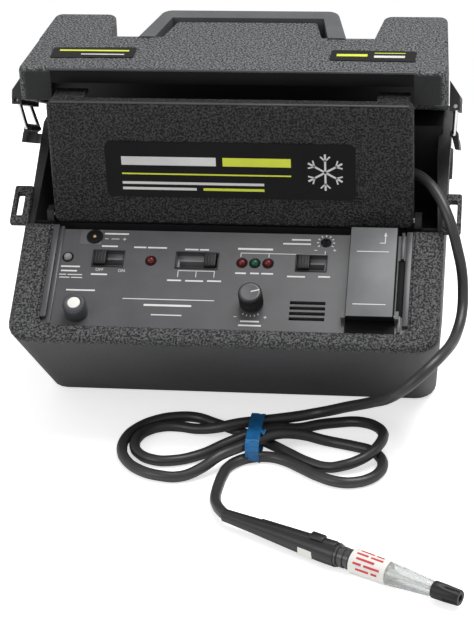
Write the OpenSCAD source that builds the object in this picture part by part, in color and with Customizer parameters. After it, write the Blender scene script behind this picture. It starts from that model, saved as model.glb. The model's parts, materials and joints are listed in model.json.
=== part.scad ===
// Portable refrigerant leak detector: a tub with a sloped control panel, a storage bay
// behind a drop-front cover, a carrying lid and a hand probe on a hose.
// Millimetres, +X right, +Y back, +Z up, origin under the middle of the case.

/* [Case] */
// Width of the case over its rim
case_w = 250; // [220:1:280]
// Slope of the control panel in degrees
slope = 31; // [20:1:40]
// Wall thickness of the tub
wall = 4; // [3:0.5:6]
// Rear face of the tub
tub_back = 85; // [80:1:95]
// Length of the rim along its slope
rim_len = 81.8; // [76:0.2:90]
// Width of the rim beside its opening
rim_side = 18; // [15:0.5:24]
// Radius of the rim's front corners
corner_r = 16; // [8:1:24]
// Depth of the panel below the rim
panel_recess = 4; // [2:0.5:6]
// Thickness of the panel
panel_t = 3; // [2:0.5:4]

/* [Cover and lid] */
// Front face of the front cover
cover_y = -20.5; // [-22:0.5:-18]
// Height of the front cover
cover_h = 77.5; // [70:0.5:80]
// Depth of the front cover's box edge
cover_t = 8; // [6:0.5:10]
// Top of the lid
lid_top = 207; // [200:1:215]
// Thickness of the lid's shell
lid_t = 3; // [2:0.5:4]
// Height of the rear deck
deck_z = 153; // [150:1:156]
// Gap between lid and deck
lid_gap = 1; // [0.5:0.1:2]
// Radius of the lid's hinge pins
pin_r = 1.5; // [1:0.1:2]
// Running clearance of the pins
run = 0.06; // [0.02:0.01:0.1]

/* [Controls] */
// Radius of the balance knob
knob_r = 7.1; // [5:0.1:9]
// Height of the balance knob
knob_h = 12; // [8:0.5:15]
// Radius of the indicator lamps
led_r = 2.5; // [1.5:0.1:3]
// Clearance round the controls
fit = 0.3; // [0.2:0.05:0.5]
// Width of a slider's cap
cap_w = 7; // [5:0.5:8]

/* [Latches] */
// Radius of the latch wire
wire_r = 1.2; // [0.8:0.1:1.5]
// Length of the wire bail between its bars
bail_len = 21.6; // [18:0.2:26]

/* [Hose and probe] */
// Outer radius of the hose
hose_r = 3.2; // [2.5:0.1:4]
// Largest radius of the probe
probe_r = 7; // [5:0.1:8]

/* [Hidden] */
$fn = 48;
half = case_w / 2;
open_x = half - rim_side;
cover_x = open_x;
cs = cos(slope);
sn = sin(slope);
// upper rear end of the rim, the origin of the sloped frame
sy = -22.7;
sz = 116.2;
nose_y = sy - rim_len * cs;
nose_z = sz - rim_len * sn;
foot_y = -19.9;
wall_drop = 8;
deck_wall_z = deck_z - 3;
wall_y = sy + wall_drop * sn;
wall_z = sz - wall_drop * cs;
level_y = wall_y + (deck_wall_z - wall_z) / tan(slope);
bay_y = 45;
floor_z = 101;
panel_top = -panel_recess;
panel_low = -panel_recess - panel_t;
board_top = -24.4;
cover_z = sz - 1.5;
hinge_y = cover_y + cover_t / 2;
hinge_z = cover_z + 4;
lid_low = deck_z + lid_gap;
lid_front = cover_y + 15.9;
lid_axis_y = tub_back + 4.3;
lid_axis_z = deck_wall_z + 0.2;
knuckle_r = 3.5;
lid_x = half + 1.5;
lid_back = 89;
lid_back_x = half - 3.2;
notch_y = 51.5;
bar_back = 92.8;
edge_y = 67;
ear_z = lid_top - 20;
latch_tilt = atan((ear_z - lid_low) / (edge_y - lid_front));
latch_y = 9;
latch_z = ear_z - (latch_y - lid_front) * tan(latch_tilt);
latch_x = lid_x + 3.5;
leg_gap = 27;
leg_y = 15;
leg_z = -sqrt(bail_len * bail_len - leg_y * leg_y);
bar_len = 33;
bar_x = latch_x - 1.5;
slide_y = -22.7;
leak_x = -18.8;
mode_x = 48.6;
knob_x = 16;
knob_y = -50.7;
heater_x = 56.2;
heater_y = -8.3;
lamp_y = -23.6;
jack_x = -open_x + 25.3;
jack_y = -7.8;
port_x = -open_x + 21.1;
charge_x = -open_x + 10.9;
power_x = charge_x + 24.3;
port_y = -60;
horn_x = 48.5;
horn_y = -55.2;
sense_x = open_x - 22.1;
sense_w = 27.4;
sense_hy = -59.3;
sense_hz = panel_top + 2.7;
gland_x = half - 41;
hump_x = half - 38;
knuckle_x = half - 33;
gland_y = 14;
probe_x = 10.8;
probe_y = -165;
probe_turn = -27.3;

function lead() = [[84, 14, 112], [84, 14, 119], [86, 13, 127], [91, 11, 133.5],
  [98, 8, 137], [106, 3, 138.5], [114, -4, 137.5], [121, -13, 133.5], [126, -21, 127],
  [130, -27, 118], [133, -30, 107], [135.5, -32, 95], [136.5, -36, 83], [136, -44, 73],
  [133.5, -57, 68], [131, -72, 68], [126.8, -86, 69], [120.5, -95.5, 66], [112, -98.5, 59],
  [104, -96, 50], [96, -90, 42], [88, -83, 35], [79, -75, 28], [70, -67, 21],
  [60, -61, 15], [51, -59, 11.8], [42, -60, 10.2]];
function tail() = [[12, -104, 3.4], [7, -112, 3.4], [3, -122, 3.4], [1.5, -132, 3.6],
  [1.5, -142, 4], [3.5, -152, 5], [6.5, -159, 6], [10.8, -165, 7]];

function unit(v) = v / norm(v);
function along(p, i) = unit(p[min(i + 1, len(p) - 1)] - p[max(i - 1, 0)]);
function side_of(t) = unit(cross(t, abs(t[2]) > 0.9 ? [0, 1, 0] : [0, 0, 1]));
function ring(c, t, r, n) = [for (k = [0 : n - 1])
  c + r * cos(360 * k / n) * side_of(t) + r * sin(360 * k / n) * cross(side_of(t), t)];
function rings(p, r, n) = [for (i = [0 : len(p) - 1]) each ring(p[i], along(p, i), r, n)];
function skins(m, n) = [for (i = [0 : m - 2]) for (k = [0 : n - 1])
  [i * n + k, i * n + (k + 1) % n, (i + 1) * n + (k + 1) % n, (i + 1) * n + k]];

module tube(p, r, n = 10) {
  m = len(p);
  polyhedron(
    points = rings(p, r, n),
    faces = concat([[for (k = [n - 1 : -1 : 0]) k]], skins(m, n),
      [[for (k = [0 : n - 1]) (m - 1) * n + k]]));
}
// a side outline (Y, Z) drawn out along X
module side(pts, w) {
  rotate([90, 0, 90])
    translate([0, 0, -w / 2])
      linear_extrude(w)
        polygon(pts);
}
// a front outline (X, Z) drawn out along Y
module front(pts, y0, y1) {
  translate([0, y1, 0])
    rotate([90, 0, 0])
      linear_extrude(y1 - y0)
        polygon(pts);
}
module block(x0, x1, y0, y1, z0, z1) {
  translate([x0, y0, z0])
    cube([x1 - x0, y1 - y0, z1 - z0]);
}
module post(x, y, z0, z1, r) {
  translate([x, y, z0])
    cylinder(h = z1 - z0, r = r);
}
module bar(x0, x1, y, z, r) {
  translate([x0, y, z])
    rotate([0, 90, 0])
      cylinder(h = x1 - x0, r = r);
}
module rod(p, q, r) {
  d = q - p;
  translate(p)
    rotate([0, acos(d[2] / norm(d)), atan2(d[1], d[0])])
      cylinder(h = norm(d), r = r);
}
module sloped() {
  translate([0, sy, sz])
    rotate([slope, 0, 0])
      children();
}
module rim_plan(w, y0, y1, r) {
  union() {
    translate([-w, y0 + r])
      square([2 * w, y1 - y0 - r]);
    translate([-w + r, y0])
      square([2 * (w - r), y1 - y0]);
    translate([-w + r, y0 + r])
      circle(r);
    translate([w - r, y0 + r])
      circle(r);
  }
}
module both() {
  children();
  mirror([1, 0, 0])
    children();
}
module on_latch() {
  translate([0, latch_y, latch_z])
    rotate([-latch_tilt, 0, 0])
      children();
}

module tub_outer() {
  intersection() {
    side([[foot_y, 0], [nose_y + 2.8, nose_z - 4.8], [nose_y, nose_z], [sy, sz],
      [wall_y, wall_z], [level_y, deck_wall_z], [tub_back, deck_wall_z], [tub_back, 0]],
      case_w + 10);
    front([[-half + 5.5, 0], [half - 5.5, 0], [half, 70], [half + 1, deck_wall_z + 1],
      [-half - 1, deck_wall_z + 1], [-half, 70]], -120, 120);
    sloped()
      translate([0, 0, -220])
        linear_extrude(222)
          rim_plan(half + 0.5, -rim_len, 220, corner_r);
  }
}
module tub_inner() {
  intersection() {
    side([[foot_y + 1.7, wall], [nose_y + 8.5, nose_z - 4.8], [nose_y + 8.5, 260],
      [tub_back - wall, 260], [tub_back - wall, wall]], case_w + 10);
    front([[-half + 9.5, 0], [half - 9.5, 0], [half - wall, 70],
      [half - wall + 1, deck_wall_z + 1], [half - wall + 1, 260], [-half + wall - 1, 260],
      [-half + wall - 1, deck_wall_z + 1], [-half + wall, 70]], -120, 120);
  }
}
module rim_ring() {
  intersection() {
    sloped()
      difference() {
        translate([0, 0, -10])
          linear_extrude(10)
            rim_plan(half, -rim_len, 0, corner_r);
        block(-open_x, open_x, -70.5, 10, panel_low, 10);
        block(-open_x + 5, open_x - 5, -65.5, 10, -20, 10);
        for (x = [-open_x + 2.5, open_x - 2.5])
          for (y = [-67.9, -12])
            post(x, y, -20, 1, 1.5);
      }
    tub_outer();
  }
}
module strap_loop() {
  sloped()
    difference() {
      block(half - 2, half + 9.5, -1, 26, -5, 0);
      block(half + 2.2, half + 6.9, 4, 21, -6, 1);
    }
}
module base_tub() {
  color("#3a3b3c") {
    difference() {
      union() {
        tub_outer();
        both()
          strap_loop();
        both()
          sloped()
            block(half - 1, half + 2, 56, 78, -30, -27);
        both()
          block(knuckle_x, knuckle_x + 7.7, tub_back - 1, lid_axis_y, lid_axis_z - 9, lid_axis_z);
        both()
          block(knuckle_x + 16.3, knuckle_x + 24, tub_back - 1, lid_axis_y, lid_axis_z - 9, lid_axis_z);
        both()
          bar(knuckle_x, knuckle_x + 7.7, lid_axis_y, lid_axis_z, knuckle_r);
        both()
          bar(knuckle_x + 16.3, knuckle_x + 24, lid_axis_y, lid_axis_z, knuckle_r);
      }
      tub_inner();
      both()
        bar(knuckle_x - 2, knuckle_x + 26, lid_axis_y, lid_axis_z, pin_r);
    }
    rim_ring();
    both()
      intersection() {
        block(half - 13, half - 2, 0, 40, floor_z - 11, floor_z - 3);
        tub_outer();
      }
  }
}
module window(x, w) {
  block(x - w / 2, x + w / 2, slide_y - 5, slide_y + 5, panel_low - 1, panel_top + 1);
}
module control_panel() {
  color("#65656a")
    sloped()
      difference() {
        union() {
          block(-open_x + fit, open_x - fit, -70.2, -2.6, panel_low, panel_top);
          for (x = [sense_x - sense_w / 2 - 2.8, sense_x + sense_w / 2 + 0.4])
            block(x, x + 2.4, sense_hy - 2.5, sense_hy + 2.5, panel_low, sense_hz + 2.3);
        }
        window(power_x, 17.5);
        window(leak_x, 24);
        window(mode_x, 17);
        for (x = [-46.2, 7.9, 15.5, 23.3])
          post(x, lamp_y, -20, 10, led_r + fit);
        post(charge_x, -22.3, -20, 10, led_r + fit);
        post(jack_x, jack_y, -20, 10, 3.4);
        post(heater_x, heater_y, -20, 10, 3.2);
        post(knob_x, knob_y, -20, 10, 3.4);
        post(port_x, port_y, -20, 10, 4);
        for (k = [-1.5 : 1 : 1.5])
          block(horn_x - 10.3, horn_x + 10.3, horn_y + 3.6 * k - 1.1, horn_y + 3.6 * k + 1.1,
            -20, 10);
        block(sense_x - 9.3, sense_x + 9.3, -48.3, -13.7, -20, 10);
        bar(sense_x - 20, sense_x + 20, sense_hy, sense_hz, 1.2);
        for (x = [-open_x + 2.5, open_x - 2.5])
          for (y = [-67.9, -12])
            post(x, y, -20, panel_top - 1, 1.4);
      }
}
module storage_tray() {
  color("#151516")
    difference() {
      union() {
        side([[-15, floor_z + 11], [-12, floor_z + 11], [-12, floor_z], [bay_y, floor_z],
          [bay_y, deck_z], [tub_back - wall - fit, deck_z],
          [tub_back - wall - fit, deck_z - 3.5], [bay_y + 3, deck_z - 3.5],
          [bay_y + 3, floor_z - 3], [-15, floor_z - 3]], 2 * (half - wall));
        both()
          block(cover_x + 0.5, cover_x + 4.5, hinge_y - 3.5, hinge_y + 4.5, hinge_z - 3.5,
            hinge_z + 3.5);
        both()
          block(cover_x + 0.5, cover_x + 4.5, -15, hinge_y + 4.5, floor_z - 1, hinge_z);
      }
      both()
        bar(cover_x, cover_x + 6, hinge_y, hinge_z, 2 + run);
      post(gland_x, gland_y, floor_z - 5, floor_z + 5, 5);
    }
}
module front_cover() {
  color("#2b2c2d")
    difference() {
      union() {
        difference() {
          block(-cover_x, cover_x, cover_y, cover_y + cover_t, cover_z, cover_z + cover_h);
          block(-cover_x + 3, cover_x - 3, cover_y + 3, cover_y + cover_t + 1, cover_z + 3,
            cover_z + cover_h - 2.5);
        }
        both()
          block(cover_x - 21.5, cover_x - 2.5, cover_y + cover_t - 1, cover_y + cover_t + 14.5,
            cover_z + cover_h - 2.5, cover_z + cover_h);
      }
      both()
        bar(cover_x - 5, cover_x + 5, hinge_y, hinge_z, 2);
    }
}
module cover_label() {
  color("#231f20")
    translate([0, cover_y, 0])
      rotate([90, 0, 0])
        linear_extrude(0.6)
          union() {
            translate([-73.5, cover_z + 22.3])
              square([147, 27.3]);
            translate([-69.5, cover_z + 18.3])
              square([139, 35.3]);
            for (x = [-69.5, 69.5])
              for (z = [22.3, 49.6])
                translate([x, cover_z + z])
                  circle(4);
          }
}
module cover_hinge_pins() {
  color("#8d8f92")
    both()
      bar(cover_x - 3, cover_x + 4.5, hinge_y, hinge_z, 2);
}
module lid_plan() {
  polygon([[-lid_x, lid_front], [lid_x, lid_front], [lid_back_x, lid_back], [hump_x - 3.5, lid_back],
    [hump_x - 8, notch_y], [63, notch_y], [54.5, bar_back], [-54.5, bar_back], [-63, notch_y],
    [-hump_x + 8, notch_y], [-hump_x + 3.5, lid_back], [-lid_back_x, lid_back]]);
}
module lid_side(d) {
  side([[lid_front - 1, ear_z - 10 * d], [lid_front - 1, lid_top - d], [bar_back + 1, lid_top - d],
    [bar_back + 1, lid_low - 10 * d], [edge_y, lid_low - 10 * d]], 300);
}
module latch_shoe() {
  on_latch()
    difference() {
      front([[lid_x - 3.4, 20], [latch_x + 2.5, 6], [latch_x + 2.5, -2.4], [lid_x - 3.4, -2.4]],
        -8, leg_gap + 11);
      for (y = [0, leg_gap])
        block(lid_x + 0.6, latch_x + 4, y - 2.4, y + 7, -4, 3.2);
      translate([latch_x, -10, 0])
        rotate([-90, 0, 0])
          cylinder(h = leg_gap + 30, r = wire_r + run);
    }
}
module lid() {
  color("#6c6d6f")
    difference() {
      union() {
        intersection() {
          lid_side(0);
          linear_extrude(260)
            lid_plan();
        }
        both()
          latch_shoe();
        both()
          block(knuckle_x + 8, knuckle_x + 16, lid_axis_y - 3, lid_axis_y, lid_axis_z, lid_low + 2);
        both()
          bar(knuckle_x + 8, knuckle_x + 16, lid_axis_y, lid_axis_z, knuckle_r);
      }
      intersection() {
        lid_side(lid_t);
        block(-lid_x + 8, lid_x - 8, lid_front + 3, notch_y - 3.5, 0, lid_top - lid_t);
      }
      block(-cover_x + 0.5, cover_x - 0.5, lid_front - 5, lid_front + 4, 0, lid_top - 9);
      both()
        block(hump_x, lid_x - 8.5, notch_y - 5, lid_back - 3, 0, lid_top - lid_t);
      block(-76, 76, notch_y - 0.1, bar_back + 5, 0, lid_top - 21);
      both()
        block(75, hump_x - 3, notch_y - 0.1, bar_back + 5, 0, lid_top - 21);
      block(-44, 44, notch_y - 0.1, 73, 0, lid_top - 4);
      linear_extrude(260)
        polygon([[-47, 76.5], [47, 76.5], [45.5, 79.5], [-45.5, 79.5]]);
      both()
        linear_extrude(260)
          polygon([[47, 76.5], [45.5, 79.5], [47, 79.5], [52.3, notch_y], [48.9, notch_y]]);
      both()
        bar(knuckle_x + 6, knuckle_x + 18, lid_axis_y, lid_axis_z, pin_r + run);
    }
}
module lid_label_left() {
  color("#231f20")
    translate([0, 0, lid_top])
      linear_extrude(0.5)
        polygon([[-113, 15], [-60, 15], [-57, 29.5], [-108, 29.5]]);
}
module lid_label_right() {
  color("#231f20")
    translate([0, 0, lid_top])
      linear_extrude(0.5)
        polygon([[56, 13.5], [107, 13.5], [104, 30], [54, 30]]);
}
module lid_hinge_pins() {
  color("#8d8f92")
    both()
      bar(knuckle_x, knuckle_x + 24, lid_axis_y, lid_axis_z, pin_r);
}
module latch_bail_right() {
  color("#b9bbbd")
    on_latch() {
      a = [latch_x, 0, 0];
      b = [latch_x, leg_gap, 0];
      c = [bar_x, leg_y, leg_z];
      d = [bar_x, leg_y + bar_len, leg_z];
      translate([latch_x, -4, 0])
        rotate([-90, 0, 0])
          cylinder(h = leg_gap + 8, r = wire_r);
      rod(a, c, wire_r);
      rod(b, d, wire_r);
      rod(c, d, wire_r);
      translate(c)
        sphere(wire_r + 0.2);
      translate(d)
        sphere(wire_r + 0.2);
    }
}
module latch_bail_left() {
  mirror([1, 0, 0])
    latch_bail_right();
}
module latch_lever_right() {
  color("#2b2c2d")
    on_latch()
      difference() {
        union() {
          translate([bar_x, leg_y + 3, leg_z])
            rotate([-90, 0, 0])
              cylinder(h = bar_len - 10, r = 2.4);
          front([[bar_x - 1.6, leg_z], [bar_x + 2.4, leg_z], [bar_x + 3.6, leg_z - 9],
            [bar_x + 0.9, leg_z - 9]], leg_y + 3, leg_y + bar_len - 7);
          front([[bar_x - 0.7, leg_z - 3], [bar_x + 2.8, leg_z - 3], [bar_x + 3.6, leg_z - 9],
            [bar_x + 0.9, leg_z - 9]], leg_y + 2, leg_y + bar_len + 8);
        }
        translate([bar_x, leg_y, leg_z])
          rotate([-90, 0, 0])
            cylinder(h = bar_len, r = wire_r + run);
      }
}
module latch_lever_left() {
  mirror([1, 0, 0])
    latch_lever_right();
}
module slider(x) {
  color("#19191a")
    sloped() {
      block(x - cap_w / 2, x + cap_w / 2, slide_y - 4.6, slide_y + 4.6, panel_low - 1, -1.5);
      block(x - 1.5, x + 1.5, slide_y - 1.5, slide_y + 1.5, panel_low - 8, panel_low);
    }
}
module power_slider() {
  slider(power_x - 4.6);
}
module leak_size_slider() {
  slider(leak_x + 7.9);
}
module mode_slider() {
  slider(mode_x - 4.4);
}
module switch_body(x, w) {
  color("#4a4a4c")
    sloped()
      difference() {
        block(x - w / 2 - 2, x + w / 2 + 2, slide_y - 7, slide_y + 7, board_top, panel_low);
        block(x - w / 2, x + w / 2, slide_y - 5, slide_y + 5, panel_low - 1.4, panel_low + 1);
        block(x - w / 2 + 1, x + w / 2 - 1, slide_y - 2, slide_y + 2, panel_low - 10, panel_low);
      }
}
module power_switch() {
  switch_body(power_x, 17.5);
}
module leak_size_switch() {
  switch_body(leak_x, 24);
}
module mode_switch() {
  switch_body(mode_x, 17);
}
module balance_knob() {
  color("#19191a")
    sloped()
      translate([knob_x, knob_y, 0])
        union() {
          translate([0, 0, panel_top + 0.4])
            cylinder(h = knob_h, r = knob_r);
          translate([0, 0, board_top + 4])
            cylinder(h = panel_top - board_top - 3, r = 3);
        }
}
module balance_pot() {
  color("#4a4a4c")
    sloped()
      difference() {
        post(knob_x, knob_y, board_top, panel_low, 8);
        post(knob_x, knob_y, board_top + 2, panel_low + 1, 3 + run);
      }
}
module heater_trimmer() {
  color("#d8c27a")
    sloped()
      difference() {
        union() {
          post(heater_x, heater_y, panel_low + fit, panel_top - 0.8, 2.6);
          post(heater_x, heater_y, panel_low - 6, panel_low + 1, 1.5);
        }
        block(heater_x - 0.5, heater_x + 0.5, heater_y - 4, heater_y + 4, panel_top - 1.8, 0);
      }
}
module heater_trimmer_body() {
  color("#2f5f9a")
    sloped()
      difference() {
        block(heater_x - 5, heater_x + 5, heater_y - 5, heater_y + 5, board_top, panel_low);
        post(heater_x, heater_y, panel_low - 7, panel_low + 1, 1.5 + run);
      }
}
module lamp(x, y) {
  sloped() {
    post(x, y, board_top, panel_top, led_r);
    translate([x, y, panel_top])
      sphere(led_r);
  }
}
module low_battery_led() {
  color("#7a1416")
    lamp(-46.2, lamp_y);
}
module cal_low_led() {
  color("#7a1416")
    lamp(7.9, lamp_y);
}
module cal_ok_led() {
  color("#1d6b3c")
    lamp(15.5, lamp_y);
}
module cal_high_led() {
  color("#7a1416")
    lamp(23.3, lamp_y);
}
module charge_led() {
  color("#8a8a8c")
    lamp(charge_x, -22.3);
}
module charger_jack() {
  color("#19191a")
    sloped() {
      difference() {
        post(jack_x, jack_y, panel_low - 10, panel_low, 5);
        post(jack_x, jack_y, panel_low - 9, panel_low + 1, 2.8);
      }
      post(jack_x, jack_y, panel_low - 9.5, panel_low - 1, 1);
    }
}
module calibration_port() {
  color("#19191a")
    sloped()
      difference() {
        union() {
          post(port_x, port_y, panel_top, panel_top + 11, 6.9);
          post(port_x, port_y, panel_low, panel_top + 1, 4);
        }
        post(port_x, port_y, panel_top + 5, panel_top + 12, 4.3);
      }
}
module reference_wick() {
  color("#f2f2ee")
    sloped()
      post(port_x, port_y, panel_top + 5, panel_top + 10.6, 4.3);
}
module sensor_cover() {
  color("#3c3c3f")
    sloped()
      difference() {
        union() {
          block(sense_x - sense_w / 2, sense_x + sense_w / 2, sense_hy - 2.4, -3.2, sense_hz, 6);
          block(sense_x - sense_w / 2, sense_x + sense_w / 2, sense_hy, -3.2, panel_top + 0.4, 6);
          bar(sense_x - sense_w / 2, sense_x + sense_w / 2, sense_hy, sense_hz, 2.4);
        }
        block(sense_x - sense_w / 2 + 2, sense_x + sense_w / 2 - 2, -55.8, -5.2, panel_top - 1, 4);
        bar(sense_x - 20, sense_x + 20, sense_hy, sense_hz, 1.2 + run);
      }
}
module sensor_cover_pin() {
  color("#8d8f92")
    sloped()
      bar(sense_x - sense_w / 2 - 2.8, sense_x + sense_w / 2 + 2.8, sense_hy, sense_hz, 1.2);
}
module sensor_holder() {
  color("#d9d6cc")
    sloped()
      difference() {
        union() {
          block(sense_x - 9, sense_x + 9, -48, -14, -22, panel_top - 0.5);
          block(sense_x - 12, sense_x + 12, -51, -11, -11, panel_low);
        }
        translate([sense_x, -47, panel_top])
          rotate([-90, 0, 0])
            cylinder(h = 32, r = 4);
      }
}
module sensor_element() {
  color("#c9b27c")
    sloped()
      translate([sense_x, -47, panel_top])
        rotate([-90, 0, 0])
          cylinder(h = 32, r = 4);
}
module speaker() {
  color("#202022")
    sloped() {
      post(horn_x, horn_y, panel_low - 7, panel_low, 10);
      post(horn_x, horn_y, panel_low - 12, panel_low - 6, 6);
    }
}
module circuit_board() {
  color("#2d5b3a")
    sloped()
      block(-open_x + 6, sense_x - 18.9, -64, -3, board_top - 1.6, board_top);
}
module battery_pack() {
  color("#20242b") {
    block(-95, 5, 15, 80, wall, 64);
    block(-88, -80, 22, 27, 64, 71);
    block(-10, -2, 22, 27, 64, 71);
  }
}
module air_pump() {
  color("#4a4a4c") {
    block(gland_x - 16, gland_x + 6, gland_y - 13, gland_y + 13, wall, 50);
    post(gland_x, gland_y, 50, 58, 2.4);
  }
}
module pump_motor() {
  color("#8d8f92")
    bar(gland_x - 60, gland_x - 16, gland_y, wall + 13, 13);
}
module pump_tube() {
  color("#c9ccc8")
    difference() {
      post(gland_x, gland_y, 50, floor_z - 7, 4);
      post(gland_x, gland_y, 49, floor_z - 6, 2.4);
    }
}
module hose_gland() {
  color("#19191a")
    difference() {
      union() {
        post(gland_x, gland_y, floor_z, floor_z + 11, 6.5);
        post(gland_x, gland_y, floor_z - 3, floor_z + 1, 5);
        post(gland_x, gland_y, floor_z - 15, floor_z - 2, 2.4);
      }
      post(gland_x, gland_y, floor_z - 16, floor_z + 4, 1.5);
    }
}
module panel_screws() {
  color("#8d8f92")
    sloped()
      for (x = [-open_x + 2.5, open_x - 2.5])
        for (y = [-67.9, -12])
          union() {
            post(x, y, -13, -10, 2.4);
            post(x, y, -10.5, panel_top - 1, 1.4);
          }
}
module hose_lead() {
  color("#2d2d2e")
    tube(lead(), hose_r);
}
module hose_hank() {
  color("#2d2d2e")
    linear_extrude(9)
      union() {
        translate([-24, -109])
          square([94, 46]);
        translate([-24, -91])
          circle(37.2);
        translate([66, -91])
          circle(36);
      }
}
module hose_tail() {
  color("#2d2d2e")
    tube(tail(), hose_r);
}
module twist_tie() {
  color("#1f6fb0")
    block(14, 22, -108, -64, 9, 11);
}
module probe_axis() {
  translate([probe_x, probe_y, probe_r])
    rotate([0, 0, probe_turn])
      rotate([0, 90, 0])
        children();
}
module spun(pts) {
  rotate_extrude()
    polygon(pts);
}
module probe_body() {
  color("#2a2b2c")
    probe_axis()
      difference() {
        spun([[0, 0], [3.6, 0], [4.4, 20], [5.8, 45], [6.7, 64], [6.7, 74], [0, 74]]);
        translate([-1, -8, 52])
          cube([5, 3, 9]);
      }
}
module probe_window() {
  color("#c9ccc8")
    probe_axis()
      translate([-1, -6.2, 52])
        cube([5, 1.2, 9]);
}
module probe_collar() {
  color("#3a3b3c")
    probe_axis()
      spun([[0, 74], [5.8, 74], [5.8, 84], [0, 84]]);
}
module tip_band() {
  color("#f2f2ee")
    probe_axis()
      spun([[0, 84], [probe_r, 84], [6.6, 106], [0, 106]]);
}
module tip_guard() {
  color("#dfe6e6")
    probe_axis()
      spun([[0, 106], [6.2, 106], [4, 134], [0, 134]]);
}
module probe_nozzle() {
  color("#2a2b2c")
    probe_axis()
      difference() {
        spun([[0, 134], [4.8, 134], [4.2, 149], [0, 149]]);
        translate([0, 0, 143])
          cylinder(h = 7, r = 1.6);
      }
}

base_tub();
control_panel();
storage_tray();
front_cover();
cover_label();
cover_hinge_pins();
lid();
lid_label_left();
lid_label_right();
lid_hinge_pins();
latch_bail_left();
latch_bail_right();
latch_lever_left();
latch_lever_right();
power_slider();
leak_size_slider();
mode_slider();
power_switch();
leak_size_switch();
mode_switch();
balance_knob();
balance_pot();
heater_trimmer();
heater_trimmer_body();
low_battery_led();
cal_low_led();
cal_ok_led();
cal_high_led();
charge_led();
charger_jack();
calibration_port();
reference_wick();
sensor_cover();
sensor_cover_pin();
sensor_holder();
sensor_element();
speaker();
circuit_board();
battery_pack();
air_pump();
pump_motor();
pump_tube();
hose_gland();
panel_screws();
hose_lead();
hose_hank();
hose_tail();
twist_tie();
probe_body();
probe_window();
probe_collar();
tip_band();
tip_guard();
probe_nozzle();
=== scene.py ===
# %% [markdown]
# # A refrigerant leak detector
# The CAD model gives every rigid piece its place. This lesson dresses it: it sets the camera,
# lays the hose, rounds the moulded edges, prints the panel and lights the scene.
# Everything is in metres, in the CAD frame: +X right, +Y back, +Z up. Sizes are typed in
# millimetres and multiplied by mm.

# %% Load the frame
import bpy
import json
import math
from mathutils import Matrix, Vector

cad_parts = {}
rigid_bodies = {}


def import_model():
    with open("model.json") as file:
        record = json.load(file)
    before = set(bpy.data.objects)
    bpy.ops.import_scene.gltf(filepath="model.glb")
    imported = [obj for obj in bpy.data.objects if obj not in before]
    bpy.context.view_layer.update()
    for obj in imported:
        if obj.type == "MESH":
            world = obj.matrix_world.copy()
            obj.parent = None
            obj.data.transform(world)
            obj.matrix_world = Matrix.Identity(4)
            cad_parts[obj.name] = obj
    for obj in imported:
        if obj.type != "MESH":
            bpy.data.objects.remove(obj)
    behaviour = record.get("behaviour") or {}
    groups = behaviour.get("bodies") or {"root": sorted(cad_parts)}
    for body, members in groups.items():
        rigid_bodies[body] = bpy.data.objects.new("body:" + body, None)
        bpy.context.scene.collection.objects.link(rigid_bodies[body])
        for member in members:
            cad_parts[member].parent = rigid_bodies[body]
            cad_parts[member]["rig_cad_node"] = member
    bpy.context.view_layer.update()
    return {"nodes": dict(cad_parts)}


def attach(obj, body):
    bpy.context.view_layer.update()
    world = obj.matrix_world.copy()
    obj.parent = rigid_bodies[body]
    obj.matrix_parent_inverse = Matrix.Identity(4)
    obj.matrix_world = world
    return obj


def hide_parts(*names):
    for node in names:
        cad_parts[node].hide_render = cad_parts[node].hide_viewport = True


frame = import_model()
nodes = frame["nodes"]
mm = 0.001

# %% Places


def at(x, y, z):
    """A move to a point in millimetres."""
    return Matrix.Translation(Vector((x, y, z)) * mm)


def spin(angle, axis):
    """A turn by an angle in degrees."""
    return Matrix.Rotation(math.radians(angle), 4, axis)


def spin_about(point, angle, axis):
    """A turn about an axis through a point in millimetres."""
    return at(*point) @ spin(angle, axis) @ at(*point).inverted()


slope = math.radians(31)
rim_point = Vector((0, -22.7, 116.2)) * mm
rim_up = Vector((0, -math.sin(slope), math.cos(slope)))
panel_place = Matrix.Translation(rim_point) @ Matrix.Rotation(slope, 4, "X")
panel_face = -4.0
upright = Matrix()
print("the rim and the panel slope by", round(math.degrees(slope)), "degrees")

# %% [markdown]
# ## Camera
# The photograph looks down on the panel from a little to the right, through a long lens.
# The camera stands where the case edges of the photograph converge, tipped by a small roll.

# %% Camera
cam_yaw, cam_pitch, cam_roll = math.radians(8.69), math.radians(26.13), math.radians(2.52)
bpy.ops.object.camera_add(location=Vector((172.5, -1149.2, 660.1)) * mm)
camera = bpy.context.active_object
camera.name = "photo_camera"
aim = Vector((-math.sin(cam_yaw) * math.cos(cam_pitch), math.cos(cam_yaw) * math.cos(cam_pitch),
              -math.sin(cam_pitch)))
camera.rotation_mode = "QUATERNION"
camera.rotation_quaternion = (aim.to_track_quat("-Z", "Y").to_matrix()
                              @ Matrix.Rotation(cam_roll, 3, "Z").transposed()).to_quaternion()
camera.data.sensor_width = 36
camera.data.lens = 124.5
camera.data.shift_x = 0.0061
camera.data.shift_y = -0.0989
camera.data.clip_start, camera.data.clip_end = 0.05, 20
bpy.context.scene.camera = camera
print("camera", [round(v, 3) for v in camera.location])
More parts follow.
